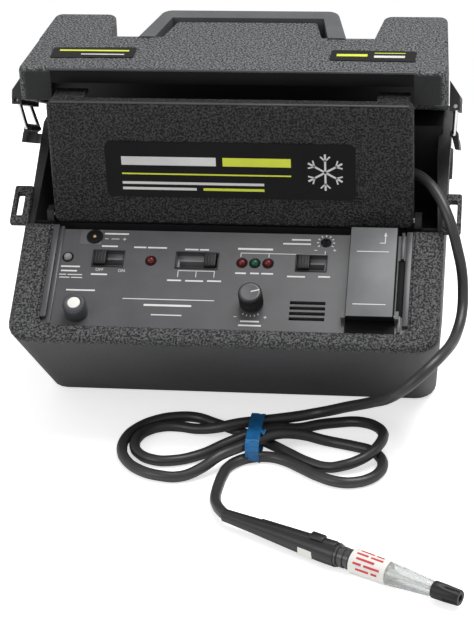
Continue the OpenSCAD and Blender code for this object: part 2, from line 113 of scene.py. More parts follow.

# %% [markdown]
# ## The hose
# The sampling hose is one length of soft black tube. It climbs out of the storage bay, hangs over
# the right wall, lies in a tied hank in front of the case and ends in the probe.
# A curve with a round bevel is the plain way to draw it. The free stretches are listed points,
# and the loops of the hank are arcs, so their ends stay round.

# %% Hose route
hose_r = 3.2 * mm
lying = 3.4  # height of the hose's middle where it lies on the floor
lead = [(84, 14, 112), (84, 14, 118.5), (85.2, 13.4, 126), (89, 12, 133.4), (95.6, 9.2, 138.6),
        (104, 4.4, 140.4), (113, -3, 138.8), (120.8, -12.6, 133.6), (126, -21, 127),
        (130, -27, 118), (133, -30, 107), (135.5, -32, 95), (136.5, -36, 83), (136.2, -45, 73.4),
        (134, -58, 68.2), (131.4, -72, 68), (127.8, -85.5, 69.4), (121.8, -97, 68),
        (113.4, -103.6, 62), (104.4, -103, 53.4), (96.2, -96.4, 44.6), (88, -87, 36.8),
        (79, -77.5, 29), (70, -69, 22), (60, -62.4, 15.4), (51, -60, 11.8), (42, -61, 10.2)]
tail = [(2.2, -128, lying), (2, -136.5, 3.7), (2.6, -145, 4.5), (4.6, -152.8, 5.5),
        (7.8, -159.6, 6.4), (12, -165.3, 7)]
in_grip = [(24.1, -171.9, 7), (37.5, -178.8, 7), (50.8, -185.6, 7)]


def arc(cx, cy, r, start, stop, count, z0=lying, z1=lying):
    """Points on a flat round loop end, from one angle to another, rising from z0 to z1."""
    points = []
    for i in range(count):
        t = i / (count - 1)
        angle = math.radians(start + t * (stop - start))
        points.append((cx + r * math.cos(angle), cy + r * math.sin(angle), z0 + t * (z1 - z0)))
    return points


inner_left = arc(-34, -86, 19.6, 80, 280, 8)
outer_left = arc(-27, -88.5, 33.5, 80, 280, 10)
inner_right = (arc(67, -81, 25.5, 95, 0, 6, lying, 9.9)
               + arc(67, -81, 25.5, -25, -100, 5, 9.9, lying))
outer_right = arc(74, -102, 19.6, 80, -100, 8)
hank = ([(30, -65, 10.2), (18, -68.5, 10.2), (6, -71.5, 9.8), (-6.6, -72.5, 7), (-19, -69.6, 4)]
        + inner_left
        + [(-13, -98.5, 4), (1.7, -91.3, 8), (16, -83, 10.3), (30, -73.3, 8.6), (41.8, -64.8, 4),
           (54, -58.5, lying)]
        + inner_right
        + [(50, -101, lying), (38, -92, lying), (26, -82.5, lying), (14, -74.5, lying),
           (2, -67.5, lying), (-10, -61, lying)]
        + outer_left
        + [(-10, -116.5, 6), (0, -108.5, 10), (10, -99.5, 10.4), (20, -90.5, 10.4),
           (31, -82.5, 10.2), (44, -77, 7), (58, -77, 3.6)]
        + outer_right
        + [(58, -115.8, lying), (46.5, -107.3, lying)]
        + arc(25, -119, 22, 60, 180, 6))
route = [Vector(p) * mm for p in lead + hank + tail + in_grip]
print("hose route:", len(route), "points")

# %% Hose
curve = bpy.data.curves.new("hose", "CURVE")
curve.dimensions = "3D"
curve.resolution_u = 6
curve.bevel_depth = 1.0
curve.bevel_resolution = 4
curve.use_fill_caps = True
spline = curve.splines.new("BEZIER")
spline.bezier_points.add(len(route) - 1)
for point, place in zip(spline.bezier_points, route):
    point.co = place
    point.radius = hose_r
    point.handle_left_type = point.handle_right_type = "AUTO"
hose = bpy.data.objects.new("hose", curve)
bpy.context.scene.collection.objects.link(hose)
bpy.context.view_layer.update()
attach(hose, "case")
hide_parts("hose_lead", "hose_hank", "hose_tail")

# %% [markdown]
# ## Finishes
# The case is moulded with a coarse pebble grain on its lid, rim and cover, and is smooth elsewhere.
# A few small builders make each finish from nodes: a colour that varies a little over the surface,
# one roughness, and a bump at the real size of the grain. On the grained skins the colour also runs
# from dark valleys to pale crowns, which is painted shade in the valleys and painted highlights on
# the crowns.

# %% Material builders
# These levels also set where the colour runs from the valleys' painted shade to the crowns' painted
# highlights.
grain_and_glint_steps = (0.43, 0.6)  # noise levels between which the grain runs from valley to crown
matt_gloss = 0.3


def shader(name, color, roughness, metallic=0.0, gloss=0.5):
    """A new material with its Principled node set; returns the material, its tree and that node."""
    mat = bpy.data.materials.new(name)
    mat.use_nodes = True
    tree = mat.node_tree
    bsdf = tree.nodes["Principled BSDF"]
    bsdf.inputs["Base Color"].default_value = (*color, 1)
    bsdf.inputs["Roughness"].default_value = roughness
    bsdf.inputs["Metallic"].default_value = metallic
    bsdf.inputs["Specular IOR Level"].default_value = gloss
    return mat, tree, bsdf


def link(tree, a, out, b, into):
    tree.links.new(a.outputs[out], b.inputs[into])


def noise(tree, scale, detail):
    """Noise on Object coordinates; scale counts features in a metre."""
    coord = tree.nodes.new("ShaderNodeTexCoord")
    tex = tree.nodes.new("ShaderNodeTexNoise")
    tex.inputs["Scale"].default_value = scale
    tex.inputs["Detail"].default_value = detail
    link(tree, coord, "Object", tex, "Vector")
    return tex


def vary(tree, bsdf, tex, color, dark, light, steps=(0.3, 0.7)):
    """The base colour runs from dark times to light times a colour over the texture."""
    ramp = tree.nodes.new("ShaderNodeValToRGB")
    for stop, position, factor in zip(ramp.color_ramp.elements, steps, (dark, light)):
        stop.position = position
        stop.color = (*(min(1.0, c * factor) for c in color), 1)
    link(tree, tex, "Fac", ramp, "Fac")
    link(tree, ramp, "Color", bsdf, "Base Color")
    return ramp


def bumped(tree, bsdf, tex, depth, strength=1.0):
    """The texture raises the surface by up to depth metres."""
    bump = tree.nodes.new("ShaderNodeBump")
    bump.inputs["Strength"].default_value = strength
    bump.inputs["Distance"].default_value = depth
    link(tree, tex, "Fac", bump, "Height")
    link(tree, bump, "Normal", bsdf, "Normal")
    return bump


def pebble(name, color, roughness, depth, size, dark, light):
    """Coarse moulded grain about size millimetres apart; its crowns are painted pale as highlights
    and its valleys painted dark as shade.
    """
    mat, tree, bsdf = shader(name, color, roughness, 0.0, matt_gloss)
    grain = noise(tree, 1000 / size, 3)
    vary(tree, bsdf, grain, color, dark, light, grain_and_glint_steps)
    bumped(tree, bsdf, grain, depth)
    return mat


def smooth(name, color, roughness, metallic=0.0, spread=0.12, gloss=0.5):
    """Plain moulding or metal: a faint cloud in the colour and a very fine skin."""
    mat, tree, bsdf = shader(name, color, roughness, metallic, gloss)
    vary(tree, bsdf, noise(tree, 60, 4), color, 1 - spread, 1 + spread)
    bumped(tree, bsdf, noise(tree, 2500, 2), 0.00003, 0.5)
    return mat


# %% Plain finishes
# The cover's grain runs from painted shade in its valleys to painted highlights on its crowns.
cover_grain_and_glints = pebble("cover_grain_and_glints", (0.0175, 0.0175, 0.018), 0.48, depth=0.0016, size=1.15,
                     dark=0.12, light=3.0)
tray_black = smooth("tray_black", (0.012, 0.012, 0.012), 0.5)
panel_grey = smooth("panel_grey", (0.072, 0.072, 0.0765), 0.32)
glossy_black = smooth("glossy_black", (0.0095, 0.0085, 0.009), 0.35, gloss=0.1)
satin_black = smooth("satin_black", (0.014, 0.014, 0.0145), 0.42, gloss=0.35)
hose_black = smooth("hose_black", (0.037, 0.037, 0.0375), 0.34)
grip_black = smooth("grip_black", (0.019, 0.019, 0.0195), 0.3)
collar_sheen = smooth("collar_sheen", (0.06, 0.06, 0.062), 0.16)
steel = smooth("steel", (0.55, 0.55, 0.56), 0.32, metallic=1.0)
bright_wire = smooth("bright_wire", (0.72, 0.73, 0.74), 0.16, metallic=1.0)
brass = smooth("brass", (0.66, 0.5, 0.22), 0.35, metallic=1.0)
switch_body = smooth("switch_body", (0.3, 0.3, 0.31), 0.5)
plate_grey = smooth("plate_grey", (0.135, 0.137, 0.142), 0.45)
bar_grey = smooth("bar_grey", (0.088, 0.09, 0.093), 0.5)
edge_grey = smooth("edge_grey", (0.05, 0.053, 0.056), 0.4, spread=0.15)
switch_grey = smooth("switch_grey", (0.1, 0.1, 0.105), 0.5)
board_green = smooth("board_green", (0.02, 0.1, 0.04), 0.4)
trimmer_blue = smooth("trimmer_blue", (0.03, 0.1, 0.35), 0.4)
warm_white = smooth("warm_white", (0.8, 0.79, 0.75), 0.5, spread=0.04)
# The tie's wide colour spread paints light and dark patches: painted highlights on the crumpled
# paper.
tie_blue = smooth("tie_blue", (0.01, 0.13, 0.34), 0.5, spread=0.45)
# Near-black: the real black of the sensor cover and its hinge strip, and painted shade on the
# trimmer in its hole, the finger recess and the band under the lid lip.
black_and_painted_shade = smooth("black_and_painted_shade", (0.006, 0.006, 0.006), 0.6, gloss=0.15)
ink_white = smooth("ink_white", (0.66, 0.66, 0.65), 0.6, spread=0.08)
ink_lime = smooth("ink_lime", (0.66, 0.74, 0.045), 0.5, spread=0.06)
ink_red = smooth("ink_red", (0.6, 0.05, 0.06), 0.55, spread=0.06)
print("finishes:", len(bpy.data.materials))

# %% [markdown]
# The tub is one moulding with two skins: pebble grain on its rim, and a fine satin on the walls.
# The rim's own plane slopes with the panel, so the height above that plane picks the skin.
# The lid is made the same way; its plain front face under the grained top is painted dark as shade.

# %% Tub and lid skins


def two_skins(name, color, wall_color, along, start):
    """Grain beyond a plane across a direction, a plain skin before it; start is in millimetres."""
    mat, tree, bsdf = shader(name, color, 0.55, 0.0, matt_gloss)
    coord = tree.nodes.new("ShaderNodeTexCoord")
    height = tree.nodes.new("ShaderNodeVectorMath")
    height.operation = "DOT_PRODUCT"
    height.inputs[1].default_value = along
    link(tree, coord, "Object", height, 0)
    mask = tree.nodes.new("ShaderNodeMapRange")
    mask.inputs["From Min"].default_value = start * mm
    mask.inputs["From Max"].default_value = (start + 1) * mm
    link(tree, height, "Value", mask, "Value")
    grain = noise(tree, 870, 3)
    # The grained skin's colour runs from painted shade in the valleys to painted highlights on the
    # crowns.
    rim = vary(tree, bsdf, grain, color, 0.25, 2.5, grain_and_glint_steps)
    wall = vary(tree, bsdf, noise(tree, 700, 3), wall_color, 0.85, 1.15)
    both = tree.nodes.new("ShaderNodeMix")
    both.data_type = "RGBA"
    link(tree, mask, "Result", both, "Factor")
    link(tree, wall, "Color", both, "A")
    link(tree, rim, "Color", both, "B")
    link(tree, both, "Result", bsdf, "Base Color")
    bump = bumped(tree, bsdf, grain, 0.0014)
    strength = tree.nodes.new("ShaderNodeMapRange")
    strength.inputs["To Min"].default_value = 0.12
    link(tree, mask, "Result", strength, "Value")
    link(tree, strength, "Result", bump, "Strength")
    return mat


rim_depth = 6.2
tub_skin = two_skins("tub_skin", (0.049, 0.0495, 0.0508), (0.066, 0.066, 0.0685), rim_up,
                     rim_point.dot(rim_up) / mm - rim_depth)
# The lid's upright front faces, in front of y -4.5 mm, get a far darker plain colour: painted shade
# on faces the overhead light barely reaches.
lid_skin_shaded_front = two_skins("lid_skin_shaded_front", (0.08, 0.082, 0.084), (0.02, 0.0205, 0.0215), (0, 1, 0), -4.5)
print("two-skin finishes done")

# %% [markdown]
# Lamps and the probe's guard are clear plastic. The lamps are tinted and milky inside; the guard
# lets light through. Both are set on the shader's own sockets.

# %% Clear plastics


def clear(name, color, roughness, transmission):
    mat, tree, bsdf = shader(name, color, roughness)
    bsdf.inputs["Transmission Weight"].default_value = transmission
    bsdf.inputs["IOR"].default_value = 1.46
    bumped(tree, bsdf, noise(tree, 300, 2), 0.00005, 0.4)
    return mat


red_lens = clear("red_lens", (0.16, 0.01, 0.012), 0.15, 0.25)
green_lens = clear("green_lens", (0.01, 0.1, 0.045), 0.15, 0.25)
dim_lens = clear("dim_lens", (0.42, 0.42, 0.42), 0.2, 0.4)
clear_guard = clear("clear_guard", (0.93, 0.95, 0.95), 0.08, 0.92)
print("clear plastics done")

# %% [markdown]
# The CAD nodes that stay as they are get their finish here. New pieces get theirs when they are
# made, together with the body they ride on and the node they stand for.

# %% Finish the CAD nodes
finish_of = {
    "control_panel": panel_grey, "storage_tray": tray_black, "cover_hinge_pins": steel,
    "lid_hinge_pins": steel, "sensor_cover_pin": steel, "panel_screws": steel,
    "pump_motor": steel, "latch_bail_left": bright_wire, "latch_bail_right": bright_wire,
    "power_switch": switch_body, "leak_size_switch": switch_body, "mode_switch": switch_body,
    # The heater trimmer is near-black as painted shade in its hole.
    "balance_pot": switch_grey, "air_pump": switch_grey, "heater_trimmer": black_and_painted_shade,
    "sensor_element": brass, "heater_trimmer_body": trimmer_blue, "low_battery_led": red_lens,
    "cal_low_led": red_lens, "cal_high_led": red_lens, "cal_ok_led": green_lens,
    "charge_led": dim_lens, "charger_jack": glossy_black, "sensor_holder": warm_white,
    "speaker": satin_black, "circuit_board": board_green, "battery_pack": satin_black,
    "pump_tube": warm_white, "hose_gland": satin_black, "cover_label": glossy_black,
    "probe_window": warm_white}


def wear(obj, material):
    """One material on every face of an object."""
    obj.data.materials.clear()
    obj.data.materials.append(material)


def dress(piece, body, material, slot, *stands_for):
    """Finish a piece, hang it on its body and hide the nodes it stands for."""
    wear(piece, material)
    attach(piece, body)
    if stands_for:
        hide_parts(*stands_for)
    return piece


for name, material in finish_of.items():
    wear(nodes[name], material)
wear(hose, hose_black)
print("CAD nodes finished:", len(finish_of))

# %% [markdown]
# ## Small mouldings
# A moulded part has no knife edges. The sensor cover, the latch levers, the slide caps and later
# the probe's grip are copies of their CAD nodes: loose triangles are merged into flat faces, and
# the longer edges are then bevelled round.

# %% Round a moulding
crease = math.radians(35)
weld = 0.00002


def edit():
    """Start work on the active piece's mesh."""
    bpy.ops.object.mode_set(mode="EDIT")


def leave():
    """Go back from the mesh to the whole piece."""
    bpy.ops.object.mode_set(mode="OBJECT")


def use(piece):
    """Make a piece the only one selected."""
    bpy.ops.object.select_all(action="DESELECT")
    piece.select_set(True)
    bpy.context.view_layer.objects.active = piece


def soften(angle=crease):
    """Shade the active piece smooth, apart from edges sharper than the angle."""
    bpy.ops.object.shade_smooth_by_angle(angle=angle)


def pick(piece, kind, test):
    """Enter edit mode with just the points (VERT) or faces (FACE) selected that pass the test."""
    use(piece)
    edit()
    bpy.ops.mesh.select_mode(type=kind)
    bpy.ops.mesh.select_all(action="DESELECT")
    leave()
    for part in piece.data.vertices if kind == "VERT" else piece.data.polygons:
        part.select = test(part)
    edit()


def bevel_sharp(piece, width, test, sharp, segments):
    """In edit mode, round the sharp edges that the test picks from their two ends, in mm."""
    bpy.ops.mesh.select_mode(type="EDGE")
    bpy.ops.mesh.select_all(action="DESELECT")
    bpy.ops.mesh.edges_select_sharp(sharpness=sharp)
    leave()
    mesh = piece.data
    mesh.polygons.foreach_set("select", [False] * len(mesh.polygons))
    mesh.vertices.foreach_set("select", [False] * len(mesh.vertices))
    for edge in mesh.edges:
        a, b = (mesh.vertices[i].co / mm for i in edge.vertices)
        edge.select = edge.select and test(a, b)
    edit()
    bpy.ops.mesh.bevel(offset=width * mm, segments=segments, affect="EDGES", clamp_overlap=True)


def node_copy(node):
    """A copy of a CAD node, in edit mode with its loose triangles merged and all selected."""
    use(nodes[node])
    bpy.ops.object.duplicate()
    piece = bpy.context.active_object
    del piece["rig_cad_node"]
    edit()
    bpy.ops.mesh.customdata_custom_splitnormals_clear()
    bpy.ops.mesh.select_all(action="SELECT")
    bpy.ops.mesh.remove_doubles(threshold=weld)
    return piece


def rounded(node, body, width, shortest, material):
    """A copy of a CAD node with its sharp edges above a length rounded; it stands for the node."""
    piece = node_copy(node)
    piece.name = node + "_moulded"
    bpy.ops.mesh.dissolve_limited(angle_limit=math.radians(2))
    bevel_sharp(piece, width, lambda a, b: (a - b).length > shortest, crease, 4)
    leave()
    soften()
    print(piece.name, len(piece.data.polygons), "faces")
    return dress(piece, body, material, "black_plastic", node)


# %% Covers, levers and slide caps
rounded("sensor_cover", "sensor_cover", 0.8, 4, black_and_painted_shade)
for side in ("left", "right"):
    rounded("latch_lever_" + side, "lever_" + side, 0.5, 4, satin_black)
for cap in ("power_slider", "leak_size_slider", "mode_slider"):
    rounded(cap, cap, 0.4, 2.5, satin_black)

# %% [markdown]
# ## Tools for small pieces
# Three ways of working cover most of the small pieces: a block with rounded edges, a piece turned
# as on a lathe by extruding one ring from the last, and several blocks joined into one mesh.
# Each is modelled at the origin and settled into its place, which then sits in the mesh.

# %% Blocks, turned pieces and joining


def settle(piece, place=upright):
    """Put a piece in its place and apply that place to its mesh."""
    use(piece)
    piece.matrix_world = place @ piece.matrix_world
    bpy.ops.object.transform_apply(location=True, rotation=True, scale=True)
    return piece


def slab(name, low, high, edge=0.0, place=panel_place, segments=2):
    """A block between two corners in millimetres, its edges rounded by edge."""
    low, high = Vector(low) * mm, Vector(high) * mm
    bpy.ops.mesh.primitive_cube_add(size=1, location=(low + high) / 2)
    piece = bpy.context.active_object
    piece.name = name
    piece.scale = high - low
    settle(piece)
    if edge:
        edit()
        bpy.ops.mesh.select_all(action="SELECT")
        bpy.ops.mesh.bevel(offset=edge * mm, segments=segments, affect="EDGES", clamp_overlap=True)
        leave()
        soften()
    return settle(piece, place)


def turned(name, profile, sides, place=upright):
    """Rings of (radius, height) in millimetres, each extruded from the last."""
    radius, height = profile[0]
    bpy.ops.mesh.primitive_circle_add(vertices=sides, radius=radius * mm, fill_type="NGON",
                                      location=(0, 0, height * mm))
    piece = settle(bpy.context.active_object)
    piece.name = name
    edit()
    bpy.ops.mesh.select_all(action="SELECT")
    for next_radius, next_height in profile[1:]:
        bpy.ops.mesh.extrude_region_move(
            TRANSFORM_OT_translate={"value": (0, 0, (next_height - height) * mm)})
        grow = next_radius / radius
        bpy.ops.transform.resize(value=(grow, grow, 1), center_override=(0, 0, next_height * mm))
        radius, height = next_radius, next_height
    bpy.ops.mesh.select_all(action="SELECT")
    bpy.ops.mesh.normals_make_consistent(inside=False)
    leave()
    soften()
    return settle(piece, place)


def joined(name, pieces):
    """Several pieces made one mesh."""
    use(pieces[0])
    for piece in pieces:
        piece.select_set(True)
    bpy.ops.object.join()
    pieces[0].name = name
    return pieces[0]


# %% [markdown]
# ## Tub
# The tub is a deep moulding with an undercut front and a wide sloping rim. It starts as its side
# outline drawn out to the full width, the foot is drawn in a little, and the outside is rounded
# while it is still a plain solid. Only then are the hollow and the panel opening cut out.

# %% Outlines, chosen bevels and cuts


def prism(name, outline, x0, x1):
    """A side outline of (y, z) points in millimetres, drawn out along X."""
    bpy.ops.mesh.primitive_circle_add(vertices=len(outline), fill_type="NGON")
    piece = bpy.context.active_object
    piece.name = name
    for point, (y, z) in zip(piece.data.vertices, outline):
        point.co = Vector((x0, y, z)) * mm
    edit()
    bpy.ops.mesh.select_all(action="SELECT")
    bpy.ops.mesh.extrude_region_move(TRANSFORM_OT_translate={"value": ((x1 - x0) * mm, 0, 0)})
    bpy.ops.mesh.select_all(action="SELECT")
    bpy.ops.mesh.normals_make_consistent(inside=False)
    leave()
    return piece


def stretch_where(piece, test, factor):
    """Scale across X the points that the test picks, given in millimetres."""
    pick(piece, "VERT", lambda point: test(point.co / mm))
    bpy.ops.transform.resize(value=(factor, 1, 1), center_override=(0, 0, 0))
    leave()


def bevel_where(piece, width, test):
    """Round the edges that the test picks from their two ends, in millimetres."""
    use(piece)
    edit()
    bevel_sharp(piece, width, test, math.radians(25), 5)
    leave()


def cut(piece, *cutters):
    """Take each cutter out of a piece and throw the cutter away."""
    for cutter in cutters:
        use(piece)
        boolean = piece.modifiers.new("cut", "BOOLEAN")
        boolean.operation = "DIFFERENCE"
        boolean.object = cutter
        bpy.ops.object.modifier_apply(modifier="cut")
        use(cutter)
        bpy.ops.object.delete()
    use(piece)


def span(hand, a, b):
    """Two distances from the middle, on the left (-1) or the right (1), as low and high x."""
    return sorted((hand * a, hand * b))


# %% Tub body
half, foot_half, deck_half = 125.0, 119.5, 126.0
inner_half, inner_foot, inner_front = 121, 115.5, 108
tub_side = [(-19.9, 0), (-92.8, 74.1), (-22.7, 116.2), (-18.6, 109.3), (49.1, 150), (85, 150),
            (85, 0)]
inner_side = [(-18.2, 4), (-84.3, 67.5), (-17.6, 107.6), (-17.6, 260), (81, 260), (81, 4)]
body = prism("tub_body", tub_side, -half, half)
stretch_where(body, lambda p: p.z < 1, foot_half / half)
stretch_where(body, lambda p: p.z > 140, deck_half / half)
# In turn: the front corners, the rim's outer edge, the foot and the rear corners.
bevel_where(body, 12, lambda a, b: (abs(a.x - b.x) < 8 and max(a.y, b.y) < -15
                                    and min(a.z, b.z) < 1))
bevel_where(body, 4, lambda a, b: max(a.y, b.y) < -22 and min(a.z, b.z) > 73.6)
bevel_where(body, 3, lambda a, b: max(a.z, b.z) < 0.5)
bevel_where(body, 5, lambda a, b: min(a.y, b.y) > 84 and abs(a.z - b.z) > 40)
hollow = prism("hollow", inner_side, -inner_half, inner_half)
stretch_where(hollow, lambda p: p.z < 5, inner_foot / inner_half)
stretch_where(hollow, lambda p: p.y < -80, inner_front / inner_half)
openings = [slab("opening", (-107, -70.5, -7), (107, 12, 12), 0, upright),
            slab("under", (-102, -65.5, -25), (102, 12, 12), 0, upright),
            slab("lead_in", (-108.6, -72.1, -1.6), (108.6, 14, 12), 0, upright)]
for opening in openings:
    bevel_where(opening, 6, lambda a, b: max(a.y, b.y) < -60 and abs(a.z - b.z) > 5)
    settle(opening, panel_place)
cut(body, hollow, *openings)
print("tub body:", len(body.data.polygons), "faces")

# %% Strap loops, catches and hinge knuckles
lid_axis = (89.3, 150.2)
knuckle_profile = [(3.2, 0), (3.5, 0.4), (3.5, 7.3), (3.2, 7.7)]
fittings = []
for hand in (-1, 1):
    near, far = span(hand, half - 2, half + 9.5)
    loop = slab("strap_loop", (near, -1, -5), (far, 26, 0), 1.4, panel_place, 3)
    near, far = span(hand, half + 2.2, half + 6.9)
    cut(loop, slab("slot", (near, 4, -6), (far, 21, 1), 0.8))
    near, far = span(hand, half - 1, half + 2)
    fittings += [loop, slab("catch", (near, 56, -30), (far, 78, -27), 0.8)]
    for x in (92, 108.3):
        near, far = span(hand, x, x + 7.7)
        fittings += [turned("knuckle", knuckle_profile, 32, at(near, *lid_axis) @ spin(90, "Y")),
                     slab("knuckle_foot", (near, 84, 141.2), (far, *lid_axis), 0.5, upright)]
tub = joined("tub_moulded", [body] + fittings)
soften()
dress(tub, "case", tub_skin, "textured_black", "base_tub")
print("tub:", len(tub.data.polygons), "faces")

# %% [markdown]
# ## Lid
# The lid is built as it reads: a broad front block with an ear at each end of its mouth, two humps
# behind it, and the carrying bar with a raised face in front of it. Each block is rounded by
# itself and they run into each other, which keeps every corner round.

# %% Lid blocks
lid_half, lid_back_half = 126.5, 121.8
lid_front_y, hump_y, lid_back_y, lid_top = -4.6, 46, 89, 207
taper = (lid_half - lid_back_half) / (lid_back_y - lid_front_y)


def lid_half_at(y):
    """Half the lid's width at a depth; it narrows towards the back."""
    return lid_half - taper * (y - lid_front_y)


front = prism("lid_front", [(lid_front_y, 187), (lid_front_y, lid_top), (51.5, lid_top),
                            (51.5, 161.1)], -lid_half, lid_half)
stretch_where(front, lambda p: p.y > 50, lid_half_at(51.5) / lid_half)
bevel_where(front, 6, lambda a, b: max(a.y, b.y) < -4 and abs(a.x - b.x) < 1)
bevel_where(front, 3.2, lambda a, b: min(a.z, b.z) > 206 or min(a.y, b.y) > 51)
bevel_where(front, 2.5, lambda a, b: max(a.y, b.y) < 0 and max(a.z, b.z) < 188)
mouth = slab("mouth", (-106.5, -12, 100), (106.5, -0.6, 198), 0, upright)
inside = slab("inside", (-118.5, -1.6, 100), (118.5, 48, 204), 0, upright)
cut(front, mouth, inside)
hump_side = [(hump_y, 163.5), (hump_y, 206.98), (lid_back_y, 206.98), (lid_back_y, 154),
             (67, 154)]
hump_in, hump_in_back = 79, 83.5
humps = []
for hand in (-1, 1):
    hump = prism("lid_hump", hump_side, hand * hump_in, hand * (lid_half_at(hump_y) - 0.02))
    stretch_where(hump, lambda p: p.y > 60 and abs(p.x) > 100,
                  lid_back_half / lid_half_at(hump_y))
    stretch_where(hump, lambda p: p.y > 60 and abs(p.x) < 100, hump_in_back / hump_in)
    bevel_where(hump, 5, lambda a, b: min(a.y, b.y) > 80 and abs(a.z - b.z) > 20)
    bevel_where(hump, 2.4, lambda a, b: min(a.z, b.z) > 206 and max(a.y, b.y) > 47)
    humps.append(hump)
print("lid front and humps done")

# %% Carrying bar and raised face


def plan_block(name, front_half, back_half, y0, y1, z0, z1):
    """A block that is wider at the front than at the back."""
    block = slab(name, (-front_half, y0, z0), (front_half, y1, z1), 0, upright)
    stretch_where(block, lambda p: p.y > (y0 + y1) / 2, back_half / front_half)
    return block


carry = plan_block("lid_carry", 63.8, 54.5, 47, 95, 186, 208)
bevel_where(carry, 6, lambda a, b: min(a.y, b.y) > 90 and abs(a.z - b.z) > 10)
bevel_where(carry, 2.8, lambda a, b: max(a.y, b.y) > 48 and min(a.z, b.z) > 206)
bevel_where(carry, 3, lambda a, b: max(a.y, b.y) > 48 and max(a.z, b.z) < 187)
cut(carry, plan_block("slot", 53.5, 46.8, 40, 80, 100, 300))
raised = plan_block("lid_raised", 49.5, 43.2, hump_y, 76.2, 203, 206.95)
bevel_where(raised, 1.8, lambda a, b: min(a.z, b.z) > 206 and max(a.y, b.y) > 47)
use(carry)
soften()
print("carrying bar done")

# %% [markdown]
# The latch shoes and hinge knuckles are small working forms, so they are taken over from the CAD
# lid: a copy is merged, and everything but the outer ends or the lowest part is bisected away.
# The shoes are smooth black and the carrying bar is a paler grey, so both stay pieces of their own.

# %% Latch shoes and knuckles


def kept_end(point, outward):
    """The end of the CAD lid that lies beyond a plane, as a closed copy."""
    piece = node_copy("lid")
    bpy.ops.mesh.bisect(plane_co=Vector(point) * mm, plane_no=outward, use_fill=True,
                        clear_inner=True)
    leave()
    return piece


shoes = [kept_end((hand * 126.6, 0, 0), (hand, 0, 0)) for hand in (-1, 1)]
knuckles = kept_end((0, 0, 154.4), (0, 0, -1))
dress(joined("latch_shoes", shoes), "lid", tray_black, "black_plastic")
dress(carry, "lid", bar_grey, "textured_grey")
lid = joined("lid_moulded", [front] + humps + [raised, knuckles])
soften()
dress(lid, "lid", lid_skin_shaded_front, "textured_grey", "lid")
print("lid:", len(lid.data.polygons), "faces")

# %% [markdown]
# ## Front cover
# A plain drop-front door with rounded edges and two tabs at its top that meet the lid.

# %% Cover
door = slab("cover_door", (-107, -20.5, 114.7), (107, -12.5, 192.2), 0, upright)
bevel_where(door, 3.5, lambda a, b: abs(a.y - b.y) > 6)
bevel_where(door, 2.4, lambda a, b: max(a.y, b.y) < -20)
bevel_where(door, 1.2, lambda a, b: min(a.z, b.z) > 192 and max(a.y, b.y) > -13)
cut(door, slab("back", (-104, -17.5, 117.7), (104, -10, 189.7), 0, upright))
tabs = []
for hand in (-1, 1):
    near, far = span(hand, 85.5, 104.5)
    tabs.append(slab("cover_tab", (near, -13.5, 189.7), (far, 2, 192.2), 0.8, upright))
cover = joined("cover_moulded", [door] + tabs)
soften()
dress(cover, "front_cover", cover_grain_and_glints, "textured_black", "front_cover")
print("cover:", len(cover.data.polygons), "faces")

# %% [markdown]
# ## Panel print
# The captions are white screen print. Here each word is a plain bar of ink, because the part is
# unmarked; the switch keeps its ON and OFF, and the dials keep their ticks and signs.

# %% Captions
ink_sunk, ink_proud = 0.03, 0.05
dial, trimmer = (16, -50.7), (56.2, -8.3)


def ink(x0, x1, y0, y1, turn=0.0, about=(0, 0)):
    """A flat patch of ink on the panel, turned about a point of the panel."""
    return slab("ink", (x0, y0, panel_face - ink_sunk), (x1, y1, panel_face + ink_proud), 0,
                panel_place @ spin_about((*about, 0), turn, "Z"))


def caption(x, y, words, height=1.0, gap=0.9):
    """A line of print, one bar to a word."""
    bars = []
    for width in words:
        bars.append(ink(x, x + width, y - height / 2, y + height / 2))
        x += width + gap
    return bars


print_lines = [  # start, middle height and the lengths of the words
    (-76, -5.3, (14.5,)), (-76.7, -14.1, (9.6,)), (-80.8, -33.8, (9.6,)),
    (-57.3, -14.4, (7.4, 11.4)), (-26.7, -15.1, (8, 5.3)), (-35.1, -36.7, (8.3,)),
    (-24.4, -36.8, (10.6,)), (-11.5, -36.6, (8.3,)), (4.5, -30.7, (6.4,)), (13.3, -30.6, (5.2,)),
    (19.8, -30.6, (7,)), (36, -6.6, (11.2,)), (31, -9.5, (16.4,)), (35.1, -32.1, (10.5,)),
    (53.2, -31.8, (7,)), (-99.5, -28.8, (11.4,)), (-99, -31.8, (9.6,)), (-94.2, -45, (17.2,)),
    (10.4, -63.2, (10.9,)), (9.5, -65.9, (13.2,)), (4.7, -13.8, (20.7,), 1.3),
    (-99.8, -34.4, (4.2, 8.6), 0.55), (-99.5, -36.4, (6.1, 6.8), 0.55)]
marks = [bar for row in print_lines for bar in caption(*row)]
marks += [ink(-60, -6, -50.2, -49.7), ink(-47, -19, -54.6, -53.3), ink(-42, -24, -60.8, -60.1)]
print("print bars:", len(marks))

# %% Brackets, signs and dial ticks
line = 0.4
marks += [ink(-29.4, -7.6, -30.1, -30.1 + line)]
marks += [ink(x, x + line, -34.2, -29.8) for x in (-29.4, -18.7, -8)]
marks += [ink(6.6, 56.4, -16.9, -16.9 + line), ink(6.6, 6.6 + line, -19.4, -16.7)]
marks += [ink(23.2, 23.2 + line, -19.4, -16.7), ink(56, 56 + line, -16.7, -14.2)]


def minus(x, y, arm):
    return [ink(x - arm, x + arm, y - line / 2, y + line / 2)]


def plus(x, y, arm):
    return minus(x, y, arm) + [ink(x - line / 2, x + line / 2, y - arm, y + arm)]


